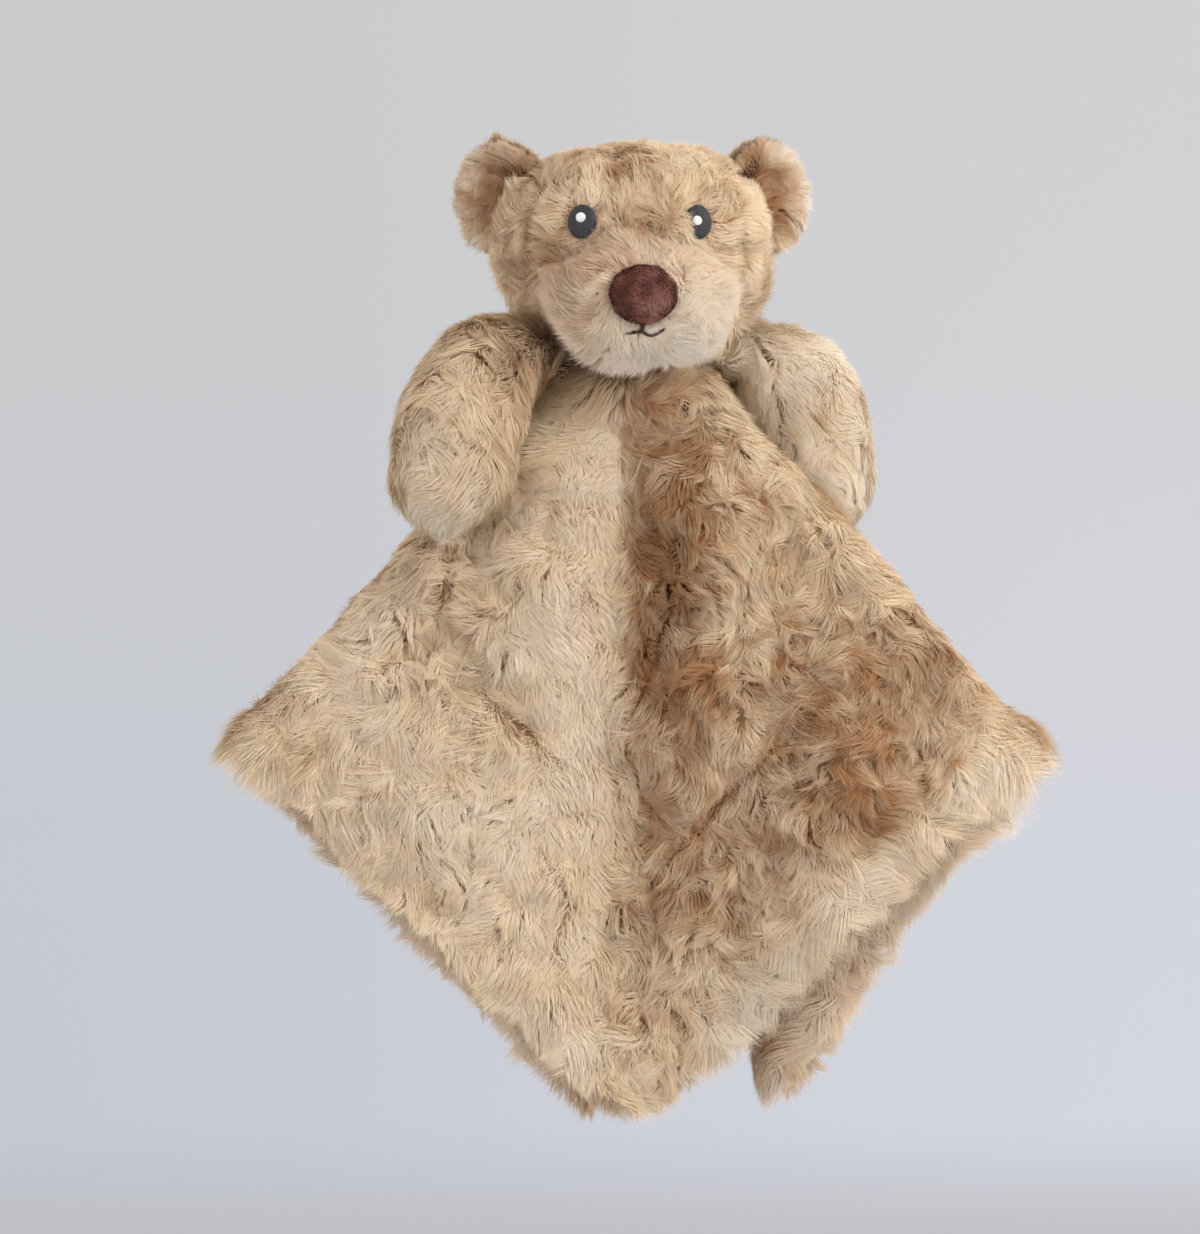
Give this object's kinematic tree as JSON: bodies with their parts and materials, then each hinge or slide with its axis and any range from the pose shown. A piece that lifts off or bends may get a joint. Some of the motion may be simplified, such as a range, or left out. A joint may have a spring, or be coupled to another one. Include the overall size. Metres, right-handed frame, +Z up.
{
  "type": "plush comfort blanket",
  "caption": "Square plush comfort blanket that hangs in folds from a stuffed bear head, with two stuffed arms and cupped ears.",
  "frame": {"origin": "the crown of the head, where the thread that holds the toy up is sewn in", "axes": "+Z up along the hang, -Y towards the viewer that the face looks at, +X to that viewer's right"},
  "size_m": [0.2582, 0.1046, 0.3197],
  "materials": {
    "plush": "long curly polyester plush, honey brown",
    "plush_muzzle": "long polyester plush, paler honey brown, brushed outwards from the nose",
    "plush_ear_lining": "short polyester plush, deeper brown",
    "plush_underside": "long polyester plush, honey brown",
    "wadding": "white polyester fibre filling",
    "nose_velour": "short dark maroon-brown velour",
    "mouth_thread": "matte dark brown embroidery thread",
    "eye_thread": "charcoal embroidery thread, satin stitch",
    "glint_thread": "white embroidery thread",
    "seam_thread": "brown sewing thread"
  },
  "bodies": {
    "head": {"head_centre_panel": "plush", "head_side_panel_left": "plush", "head_side_panel_right": "plush", "head_wadding": "wadding", "head_base_panel": "plush", "muzzle_panel": "plush_muzzle", "muzzle_wadding": "wadding", "nose": "nose_velour", "mouth_stitch": "mouth_thread", "eye_left": "eye_thread", "eye_glint_left": "glint_thread", "eye_right": "eye_thread", "eye_glint_right": "glint_thread"},
    "ear_left": {"ear_outer_panel_left": "plush", "ear_inner_panel_left": "plush_ear_lining"},
    "ear_right": {"ear_outer_panel_right": "plush", "ear_inner_panel_right": "plush_ear_lining"},
    "neck": {"neck_gather": "plush"},
    "neck_seam": {"neck_stitching": "seam_thread"},
    "blanket": {"blanket_upper_panel": "plush", "blanket_under_panel": "plush_underside", "blanket_edge_seam": "seam_thread"},
    "shoulder_left": {"shoulder_seam_left": "seam_thread"},
    "arm_left": {"arm_front_panel_left": "plush", "arm_back_panel_left": "plush", "arm_wadding_left": "wadding"},
    "shoulder_right": {"shoulder_seam_right": "seam_thread"},
    "arm_right": {"arm_front_panel_right": "plush", "arm_back_panel_right": "plush", "arm_wadding_right": "wadding"}
  },
  "joints": [
    {"name": "neck_nod", "type": "hinge", "parent": "head", "child": "neck", "pos_m": [0, 0, -0.0673], "axis": [1, 0, 0], "range_deg": [-6, 6], "stiffness_Nm_per_rad": 0.004, "deforming": ["neck_gather"]},
    {"name": "neck_tilt", "type": "hinge", "parent": "neck", "child": "neck_seam", "pos_m": [0, 0, -0.0741], "axis": [0, 1, 0], "range_deg": [-5, 5], "stiffness_Nm_per_rad": 0.004},
    {"name": "neck_turn", "type": "hinge", "parent": "neck_seam", "child": "blanket", "pos_m": [0, 0, -0.0757], "axis": [0, 0, 1], "range_deg": [-16, 16], "stiffness_Nm_per_rad": 0.004},
    {"name": "arm_left_sweep", "type": "hinge", "parent": "blanket", "child": "shoulder_left", "pos_m": [-0.026, -0.0055, -0.0772], "axis": [0, 0, 1], "range_deg": [-2, 8], "stiffness_Nm_per_rad": 0.003, "deforming": ["shoulder_seam_left"]},
    {"name": "arm_left_raise", "type": "hinge", "parent": "shoulder_left", "child": "arm_left", "pos_m": [-0.027, -0.0055, -0.0772], "axis": [0, 1, 0], "range_deg": [0, 18], "stiffness_Nm_per_rad": 0.003},
    {"name": "arm_right_sweep", "type": "hinge", "parent": "blanket", "child": "shoulder_right", "pos_m": [0.026, 0.0018, -0.0784], "axis": [0, 0, -1], "range_deg": [-8, 2], "stiffness_Nm_per_rad": 0.003, "deforming": ["shoulder_seam_right"]},
    {"name": "arm_right_raise", "type": "hinge", "parent": "shoulder_right", "child": "arm_right", "pos_m": [0.027, 0.0018, -0.0784], "axis": [0, -1, 0], "range_deg": [0, 20], "stiffness_Nm_per_rad": 0.003},
    {"name": "ear_left_fold", "type": "hinge", "parent": "head", "child": "ear_left", "pos_m": [-0.0456, -0.0032, -0.035], "axis": [0.39, -0.156, 0.9075], "range_deg": [0, 25], "stiffness_Nm_per_rad": 0.001},
    {"name": "ear_right_fold", "type": "hinge", "parent": "head", "child": "ear_right", "pos_m": [0.04565, 0.00238, -0.035], "axis": [0.368, 0.2023, -0.9075], "range_deg": [0, 25], "stiffness_Nm_per_rad": 0.001}
  ]
}
